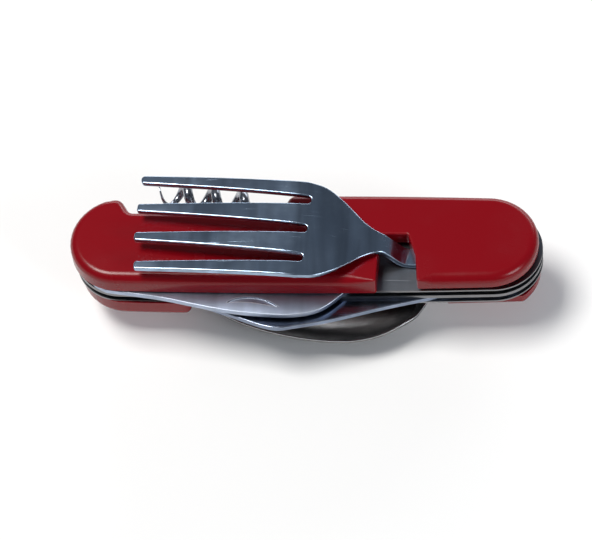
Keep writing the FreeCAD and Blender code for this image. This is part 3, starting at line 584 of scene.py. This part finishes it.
def forkHeight(s):
    neck = fork["bend"] + fork["run"]
    z = fork["lift"] + fork["rise"] * ramp(s, fork["bend"], fork["run"])
    if s > neck:
        z += fork["arch"] * ramp(min(s, fork["crest"]), neck - 1.5, fork["crest"] - neck + 1.5)
    if s > fork["crest"]:
        u = (s - fork["crest"]) / (fork["long"] - fork["crest"])
        z -= fork["droop"] * (1 - math.cos(math.pi / 2 * u))
    return z


# the fork's outline, shank to the right and tines to the left
def forkPlan():
    half, tip, long, root = fork["half"], fork["tip"], fork["long"], fork["root"]
    shoulder = [(-15.0, 2.2), (-21.0, 2.2), (-24.5, 2.5), (-28.0, 4.4), (-31.0, 7.0), (-34.0, 9.5),
                (-37.5, 11.6),
                (-41.5, half)]
    centres = [half - tip - n * 2 * (half - tip) / 3 for n in range(4)]
    upper = [(p.x, p.y, 0) for p in smooth(shoulder, 6)]
    outline = [(-3.0, fork["shank"], 0)] + upper
    for n, y in enumerate(centres):
        outer = y + tip
        inner = y - tip
        soft = 0.9 if n == 0 else 0.55
        tipX = -long - fork["tips"][n]
        outline += [(tipX, outer, soft), (tipX, inner, soft)]
        if n < 3:
            middle = (centres[n] + centres[n + 1]) / 2
            for k in range(13):
                a = math.pi / 2 - math.pi * k / 12
                outline.append((-root - fork["gap"] / 2 + fork["gap"] / 2 * math.cos(a),
                                middle + fork["gap"] / 2 * math.sin(a), 0))
    outline += [(x, -y, 0) for x, y, r in reversed(upper)] + [(-3.0, -fork["shank"], 0)]
    eye = []
    first = math.asin(fork["shank"] / fork["eye"])
    for k in range(29):
        a = math.pi + first + (2 * math.pi - 2 * first) * k / 28
        eye.append((fork["eye"] * math.cos(a), fork["eye"] * math.sin(a), 0))
    return rounded(outline[1:-1] + eye)


pin = [(1.55 * math.cos(2 * math.pi * k / 32), 1.55 * math.sin(2 * math.pi * k / 32)) for k in range(32)]
bm = sheetFrom(forkPlan(), fork["thick"], fork["edge"], holes=[pin])
cutRows(bm, [-17.0 - 0.45 * n for n in range(28)] + [-30.5 - 1.1 * n for n in range(44)], 0)
for v in bm.verts:
    s = -v.co.x / mm
    v.co.z += (forkHeight(max(s, 0)) + fork["thick"] / 2) * mm
    lean = (forkHeight(max(s, 0) + 0.2) - forkHeight(max(s - 0.2, 0))) / 0.4
    lift = v.co.z - (forkHeight(max(s, 0)) + fork["thick"] / 2) * mm
    v.co.x += lift * lean / math.sqrt(1 + lean * lean) if s > 17 else 0  # keeps the thickness in the bends
    v.co.z += lift * (1 / math.sqrt(1 + lean * lean) - 1)
placed(bm, forkPivot.to_3d() + Vector((0, 0, handle.z)), fork["turn"])
finishPiece("forkBlade", bm, finish["polished"], "fork_body", replaced=("fork",))
print("fork made")


spoon = {
    "turn": -4.6, "thick": 1.1, "bend": 11.3, "run": 5.6, "drop": 5.3, "middle": 35.0, "front": 33.9,
    "half": 16.2, "deep": 6.0, "start": 15.0, "edge": 0.3, "shank": 2.2, "eye": 4.6,
}


# half width of the bowl at a distance from the pivot
def spoonHalf(s):
    if s >= spoon["middle"]:
        u = min((s - spoon["middle"]) / spoon["front"], 1.0)
        return spoon["half"] * math.sqrt(1 - u * u)
    a, b = next((a, b) for a, b in zip(spoonSide, spoonSide[1:]) if s <= b[0])
    return b[1] + (a[1] - b[1]) * (b[0] - s) / (b[0] - a[0])


spoonSide = [(10.0, 2.3), (12.0, 3.8), (14.5, 6.4), (17.0, 8.8), (19.0, 10.5), (22.3, 12.9), (26.0, 14.7),
             (30.0, 15.8),
             (35.0, spoon["half"])]
spoonSide = [(p.x, p.y) for p in smooth(spoonSide, 6)]


def spoonPlan():
    upper = [(-s, y, 0) for s, y in spoonSide]
    bowl = []
    for k in range(1, 48):
        a = math.pi / 2 + math.pi * k / 48
        bowl.append((-spoon["middle"] + spoon["front"] * math.cos(a), spoon["half"] * math.sin(a), 0))
    lower = [(x, -y, 0) for x, y, r in reversed(upper)]
    first = math.asin(spoon["shank"] / spoon["eye"])
    eye = []
    for k in range(29):
        a = math.pi + first + (2 * math.pi - 2 * first) * k / 28
        eye.append((spoon["eye"] * math.cos(a), spoon["eye"] * math.sin(a), 0))
    return rounded(upper + bowl + lower + eye)


# height of the spoon's upper side over its pivot's, which sits under the back liner
def spoonHeight(s, v):
    z = -spoon["drop"] * ramp(s, spoon["bend"], spoon["run"])
    long = spoon["middle"] + spoon["front"] - spoon["start"]
    u = min(max((s - spoon["start"]) / long, 0.0), 1.0)
    along = math.sin(math.pi * u ** 0.86) ** 0.8
    wide = max(spoonHalf(max(s, 10.0)), 0.3)
    across = max(1 - (v / wide) ** 2, 0.0)
    return z - spoon["deep"] * along * (1 - (1 - across) ** 1.15)


bm = sheetFrom(spoonPlan(), spoon["thick"], spoon["edge"], holes=[pin])
cutRows(bm, [-10.0 - 0.5 * n for n in range(18)] + [-19.0 - 1.0 * n for n in range(50)], 0)
cutRows(bm, [-15 + 1.0 * n for n in range(31)], 1)
underLiner = (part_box("back_outer_liner")[0][2] - handle.z) / mm - 0.08
for v in bm.verts:
    s, across = -v.co.x / mm, v.co.y / mm
    v.co.z += (spoonHeight(max(s, 0), across) - spoon["thick"] / 2) * mm
placed(bm, backPivot.to_3d() + Vector((0, 0, handle.z + underLiner * mm)), spoon["turn"])
finishPiece("spoonBowl", bm, finish["spoon"], "spoon_body", replaced=("spoon",))
print("spoon made")


def ringAround(x, y, r, start, end, count=16):
    angles = [math.radians(start + (end - start) * k / count) for k in range(count + 1)]
    return [(x + r * math.cos(a), y + r * math.sin(a)) for a in angles]


# a flat ground tool in its layer, with a bevelled edge and its rivet hole
def makeTool(name, nodeName, spec, body):
    centre = (spec["pivot"] - handle.to_2d()) / mm
    holes = [[(centre.x + x, centre.y + y) for x, y in pin]]
    bm = sheetFrom([Vector(p) for p in spec["outline"]], spec["thick"], spec["edge"], holes=holes)
    low, high = (Vector(c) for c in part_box(nodeName))
    bmesh.ops.translate(bm, vec=Vector((handle.x, handle.y, (low.z + high.z) / 2)), verts=bm.verts)
    if "nick" in spec:
        cut = sheetFrom(spec["nick"], 1.0, 0.12)
        nickMiddle = Vector((handle.x, handle.y, high.z + (0.5 - spec["nickDeep"]) * mm))
        bmesh.ops.translate(cut, vec=nickMiddle, verts=cut.verts)
        bm = cutAway(bm, cut)
    return finishPiece(name, bm, finish[spec["finish"]], body, replaced=(nodeName,))


spine = smooth([(-37.4, -7.4), (-30.0, -10.4), (-17.0, -15.2), (-9.8, -18.0), (-5.6, -18.95), (-1.6, -18.4),
                (6.6, -16.7), (20.2, -12.9), (33.8, -9.9), (46.0, -8.9)], 8)
point = smooth([(-25.0, -2.5), (-29.0, -3.0), (-34.5, -4.9), (-37.2, -7.0)], 5)
knife = {
    "finish": "blade", "pivot": backPivot, "thick": 1.35, "edge": 0.2,
    "outline": spine + ringAround(41.5, -4.4, 6.9, -38, 120) + [(33.3, -2.4), (-22.0, -2.4)] + point,
}
back = smooth([(-44.0, -10.6), (-41.0, -11.1), (-31.6, -12.6), (-24.3, -14.3), (-16.9, -15.9), (-9.6, -16.8),
               (-2.0, -17.05), (4.0, -15.6), (8.6, -11.8), (12.0, -7.4)], 8)
hook = smooth([(8.0, -7.4), (5.6, -8.3), (1.8, -8.4), (-0.6, -6.6), (-1.6, -5.0)], 5)
nickTop = smooth([(-16.6, -13.8), (-14.6, -12.8), (-11.6, -12.45), (-8.2, -13.1), (-4.9, -15.0)], 8)
nickLow = smooth([(-5.6, -15.0), (-8.8, -14.3), (-11.8, -13.8), (-14.4, -13.75), (-16.4, -13.95)], 8)
heel = [(-4.0, -2.6), (-14.0, -2.6), (-33.6, -2.4)]
opener = {
    "finish": "opener", "pivot": openerPivot, "thick": 1.35, "edge": 0.18, "nickDeep": 0.42,
    "outline": back + [(9.6, -5.6)] + hook + heel + ringAround(-41.5, -4.4, 6.9, 16, 225),
    "nick": nickTop + nickLow,
}
makeTool("knifeBlade", "knife_blade", knife, "knife_body")
makeTool("openerBlade", "opener", opener, "opener_body")
print("knife and opener made")

screw = {
    "turn": -10.0, "wire": 1.1, "radius": 2.5, "pitch": 6.6, "begin": 9.0, "turns": 3.85,
    "flat": 5.4, "shank": 1.35, "eye": 2.1,
    "taper": 0.72, "crank": (0.62, 0.45),
}


# named inputs in metres; a spiral swept by a round wire that narrows to a point
def wormGroup():
    group = bpy.data.node_groups.new("wormSpiral", "GeometryNodeTree")
    for label, kind, value in (("Turns", "NodeSocketFloat", 4.0), ("Radius", "NodeSocketFloat", 0.0025),
                               ("Height", "NodeSocketFloat", 0.026), ("Wire", "NodeSocketFloat", 0.0011),
                               ("Point From", "NodeSocketFloat", 0.7),
                               ("Material", "NodeSocketMaterial", None)):
        socket = group.interface.new_socket(label, in_out="INPUT", socket_type=kind)
        if value is not None:
            socket.default_value = value
    group.interface.new_socket("Geometry", in_out="OUTPUT", socket_type="NodeSocketGeometry")
    inn, out = group.nodes.new("NodeGroupInput"), group.nodes.new("NodeGroupOutput")
    link = group.links.new
    line = node(group, "GeometryNodeCurvePrimitiveLine")
    top = node(group, "ShaderNodeCombineXYZ")
    link(inn.outputs["Height"], top.inputs["Z"])
    link(top.outputs[0], line.inputs["End"])
    dense = node(group, "GeometryNodeResampleCurve", in_Count=220)
    link(line.outputs[0], dense.inputs["Curve"])
    factor = node(group, "GeometryNodeSplineParameter").outputs["Factor"]

    def calc(operation, a, b=None):
        made = node(group, "ShaderNodeMath", operation=operation)
        for socket, value in zip(made.inputs, (a, b)):
            if isinstance(value, (int, float)):
                socket.default_value = value
            elif value is not None:
                link(value, socket)
        return made.outputs[0]

    rise = node(group, "ShaderNodeMapRange", interpolation_type="SMOOTHSTEP")
    rise.inputs["From Max"].default_value = 0.16
    link(factor, rise.inputs["Value"])
    radius = calc("MULTIPLY", inn.outputs["Radius"], rise.outputs[0])
    wound = calc("MULTIPLY", factor, inn.outputs["Turns"])
    angle = calc("ADD", calc("MULTIPLY", wound, 2 * math.pi), math.pi / 2)
    swing = node(group, "ShaderNodeCombineXYZ")
    link(calc("MULTIPLY", radius, calc("COSINE", angle)), swing.inputs["X"])
    link(calc("MULTIPLY", radius, calc("SINE", angle)), swing.inputs["Y"])
    coil = node(group, "GeometryNodeSetPosition")
    link(dense.outputs[0], coil.inputs["Geometry"])
    link(swing.outputs[0], coil.inputs["Offset"])
    fall = node(group, "ShaderNodeMapRange", clamp=True, interpolation_type="SMOOTHSTEP")
    link(inn.outputs["Point From"], fall.inputs["From Min"])
    fall.inputs["From Max"].default_value = 1.0
    fall.inputs["To Min"].default_value = 1.0
    fall.inputs["To Max"].default_value = 0.12
    link(factor, fall.inputs["Value"])
    ringNode = node(group, "GeometryNodeCurvePrimitiveCircle", in_Resolution=20)
    link(inn.outputs["Wire"], ringNode.inputs["Radius"])
    tube = node(group, "GeometryNodeCurveToMesh")
    tube.inputs["Fill Caps"].default_value = True
    link(coil.outputs[0], tube.inputs["Curve"])
    link(ringNode.outputs[0], tube.inputs["Profile Curve"])
    link(fall.outputs[0], tube.inputs["Scale"])
    real = node(group, "GeometryNodeRealizeInstances")
    link(tube.outputs[0], real.inputs[0])
    paint = node(group, "GeometryNodeSetMaterial")
    link(real.outputs[0], paint.inputs["Geometry"])
    link(inn.outputs["Material"], paint.inputs["Material"])
    link(paint.outputs[0], out.inputs[0])
    return group


host = bpy.data.objects.new("wormHost", bpy.data.meshes.new("wormHost"))
bpy.context.scene.collection.objects.link(host)
wind = host.modifiers.new("Worm", "NODES")
wind.node_group = wormGroup()
wormLong = screw["turns"] * screw["pitch"] * mm
settings = {"Turns": screw["turns"], "Radius": screw["radius"] * mm, "Height": wormLong,
            "Wire": screw["wire"] * mm, "Point From": screw["taper"], "Material": finish["wire"]}
for item in wind.node_group.interface.items_tree:
    if item.in_out == "INPUT":
        wind[item.identifier] = settings[item.name]
graph = bpy.context.evaluated_depsgraph_get()
wormMesh = bpy.data.meshes.new_from_object(host.evaluated_get(graph))
bpy.data.objects.remove(host)
bm = bmesh.new()
bm.from_mesh(wormMesh)
lying = Matrix.Rotation(-math.pi / 2, 4, "Y")
bmesh.ops.transform(bm, matrix=Matrix.Translation((-screw["begin"] * mm, 0, 0)) @ lying, verts=bm.verts)
neckLong = (screw["begin"] - screw["flat"] + 1.9) * mm
neck = bmesh.ops.create_cone(bm, cap_ends=True, segments=28, radius1=screw["shank"] * mm,
                             radius2=screw["wire"] * 1.02 * mm, depth=neckLong)
neckMiddle = -(screw["flat"] - 0.9) * mm - neckLong / 2
bmesh.ops.transform(bm, matrix=Matrix.Translation((neckMiddle, 0, 0)) @ lying, verts=neck["verts"])
for v in bm.verts:
    along = min(max((-v.co.x / mm - screw["flat"]) / 3.4, 0.0), 1.0)
    v.co.y += screw["crank"][0] * along * mm
    v.co.z += screw["crank"][1] * along * mm
tang = ringAround(0, 0, screw["eye"], -125, 125, 20)
tang += [(-3.2, 1.5), (-6.0, 1.4), (-6.4, 0.9), (-6.4, -0.9), (-6.0, -1.4), (-3.2, -1.5)]
hole = [[(x * 0.68, y * 0.68) for x, y in pin]]
flat = sheetFrom(tang, 1.35, 0.2, holes=hole)
flatMesh = bpy.data.meshes.new("screwTang")
flat.to_mesh(flatMesh)
flat.free()
bm.from_mesh(flatMesh)
low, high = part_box("corkscrew_rivet")
layerMiddle = sum(c[2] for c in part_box("opener")) / 2
placed(bm, Vector(((low[0] + high[0]) / 2, (low[1] + high[1]) / 2, layerMiddle)), screw["turn"])
finishPiece("corkscrewWorm", bm, finish["wire"], "corkscrew_body", replaced=("corkscrew",),
            weighted=False)
print("corkscrew made")

floorMesh = bpy.data.meshes.new("floor")
floorMesh.from_pydata([(-3, -3, 0), (3, -3, 0), (3, 3, 0), (-3, 3, 0)], [], [(0, 1, 2, 3)])
floor = bpy.data.objects.new("floor", floorMesh)
bpy.context.scene.collection.objects.link(floor)
paper, tree, shader, where = newMaterial("paper")
shader.inputs["Base Color"].default_value = (0.86, 0.86, 0.855, 1)
fibre = node(tree, "ShaderNodeTexNoise", in_Scale=400.0, in_Detail=3.0)
tree.links.new(where, fibre.inputs["Vector"])
dull = mathNode(tree, "ADD", mathNode(tree, "MULTIPLY", fibre.outputs[0], 0.1), 0.7)
tree.links.new(dull, shader.inputs["Roughness"])
floorMesh.materials.append(paper)

world = bpy.context.scene.world or bpy.data.worlds.new("world")
bpy.context.scene.world = world
world.use_nodes = True
worldTree = world.node_tree
worldTree.nodes.clear()
sky = worldTree.nodes.new("ShaderNodeBackground")
sky.inputs["Color"].default_value = (0.80, 0.87, 1.0, 1)
sky.inputs["Strength"].default_value = 0.17
worldOut = worldTree.nodes.new("ShaderNodeOutputWorld")
worldTree.links.new(sky.outputs[0], worldOut.inputs[0])

lights = [
    {"name": "key", "at": (-0.35, 0.05, 0.95), "size": (0.45, 0.35), "power": 10.0,
     "colour": (1.0, 0.98, 0.95)},
    {"name": "fill", "at": (0.75, -0.55, 0.45), "size": (0.4, 0.4), "power": 4.0,
     "colour": (0.92, 0.96, 1.0)},
    {"name": "back", "at": (0.2, 1.0, 0.30), "size": (1.2, 0.25), "power": 5.0, "colour": (0.95, 0.97, 1.0)},
]
aim = handle.copy()
for spec in lights:
    data = bpy.data.lights.new(spec["name"], "AREA")
    data.shape = "RECTANGLE"
    data.size, data.size_y = spec["size"]
    data.energy = spec["power"]
    data.color = spec["colour"]
    lamp = bpy.data.objects.new(spec["name"], data)
    lamp.location = aim + Vector(spec["at"])
    lamp.rotation_euler = (aim - lamp.location).to_track_quat("-Z", "Y").to_euler()
    bpy.context.scene.collection.objects.link(lamp)

shot = {
    "azimuth": 10.0, "elevation": 56.0, "roll": -8.3, "distance": 0.65, "lens": 179.0,
    "look": (-1.66, -5.68, 0.0),
}
cameraData = bpy.data.cameras.new("camera")
cameraData.lens = shot["lens"]
cameraData.clip_start = 0.01
camera = bpy.data.objects.new("camera", cameraData)
bpy.context.scene.collection.objects.link(camera)
a, e = math.radians(shot["azimuth"]), math.radians(shot["elevation"])
target = handle + Vector(shot["look"]) * mm
backward = Vector((math.sin(a) * math.cos(e), -math.cos(a) * math.cos(e), math.sin(e)))
camera.location = target + backward * shot["distance"]
facing = (-backward).to_track_quat("-Z", "Y").to_matrix().to_4x4()
camera.rotation_euler = (facing @ Matrix.Rotation(math.radians(shot["roll"]), 4, "Z")).to_euler()
bpy.context.scene.camera = camera
bpy.context.scene.view_settings.view_transform = "Standard"
print("camera and lights set")
